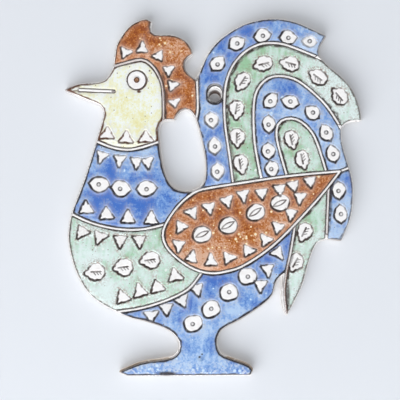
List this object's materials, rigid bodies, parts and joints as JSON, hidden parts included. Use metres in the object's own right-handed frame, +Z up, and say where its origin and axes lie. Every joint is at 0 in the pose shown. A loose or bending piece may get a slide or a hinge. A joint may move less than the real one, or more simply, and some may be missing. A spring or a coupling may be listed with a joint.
{
  "type": "rooster wall plaque",
  "caption": "Flat rooster wall plaque in glazed stoneware: coloured clay panels and raised white strips on a backing slab, with a slanted nail hole through the tail for hanging.",
  "frame": {"origin": "middle of the flat back, which lies against the wall", "axes": "+Z up, +X to the right of a viewer in front of the wall, +Y into the wall, so the glazed face looks along -Y"},
  "size_m": [0.2494, 0.0123, 0.3005],
  "materials": {
    "bare_clay": "unglazed stoneware, sponged",
    "white_slip": "white slip under clear glaze",
    "brown_oxide": "iron oxide under clear glaze",
    "blue_glaze": "brushed blue glaze",
    "green_glaze": "brushed mint green glaze",
    "rust_glaze": "speckled rust glaze",
    "cream_glaze": "mottled cream glaze"
  },
  "bodies": {
    "root": {"backing_slab": "bare_clay", "comb_panel": "rust_glaze", "face_panel": "cream_glaze", "neck_panel": "blue_glaze", "breast_panel": "green_glaze", "belly_and_foot_panel": "blue_glaze", "wing_panel": "rust_glaze", "outer_tail_panel": "blue_glaze", "second_tail_panel": "green_glaze", "third_tail_panel": "blue_glaze", "inner_tail_panel": "green_glaze", "right_lower_tail_panel": "blue_glaze", "left_lower_tail_panel": "green_glaze", "wing_ring": "white_slip", "comb_strip": "white_slip", "mouth_strip": "white_slip", "neck_strip": "white_slip", "breast_strip": "white_slip", "belly_strip": "white_slip", "comb_tail_strip": "white_slip", "outer_tail_strip": "white_slip", "second_tail_strip": "white_slip", "third_tail_strip": "white_slip", "wing_tip_strip": "white_slip", "right_lower_tail_strip": "white_slip", "left_lower_tail_strip": "white_slip", "eye_disc": "white_slip", "eye_pupil": "brown_oxide"}
  },
  "joints": []
}
